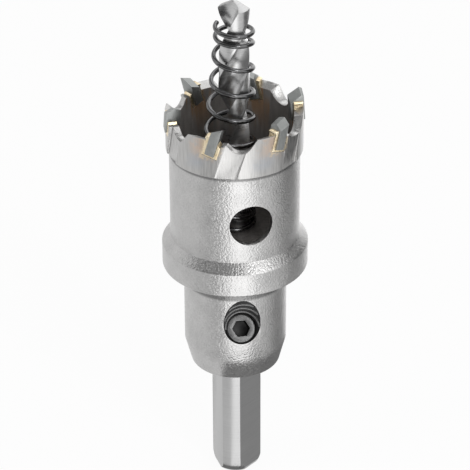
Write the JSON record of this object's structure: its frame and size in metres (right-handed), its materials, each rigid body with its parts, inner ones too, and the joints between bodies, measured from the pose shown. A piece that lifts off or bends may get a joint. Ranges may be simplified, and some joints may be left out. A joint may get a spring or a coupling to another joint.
{
  "type": "hole saw",
  "caption": "Small carbide-tipped hole saw on a three-flat shank, with a pilot drill, an ejector spring and a set screw.",
  "frame": {"origin": "middle of the shank's end face", "axes": "+Z along the saw's axis towards the drill point, -Y the side with the chip hole and the set screw"},
  "size_m": [0.0284, 0.0284, 0.104],
  "materials": {
    "blasted_steel": "fine blasted satin steel",
    "carbide": "matte sintered carbide",
    "braze": "pale gold braze, slightly rough",
    "drill_steel": "bright ground steel",
    "spring_steel": "dark glossy spring wire",
    "black_steel": "blackened screw steel"
  },
  "bodies": {
    "root": {"cutter_body": "blasted_steel", "pilot_drill": "drill_steel", "ejector_spring": "spring_steel", "set_screw": "black_steel", "carbide_tip_1": "carbide", "carbide_tip_2": "carbide", "carbide_tip_3": "carbide", "carbide_tip_4": "carbide", "carbide_tip_5": "carbide", "carbide_tip_6": "carbide", "braze_joint_1": "braze", "braze_joint_2": "braze", "braze_joint_3": "braze", "braze_joint_4": "braze", "braze_joint_5": "braze", "braze_joint_6": "braze"}
  },
  "joints": []
}
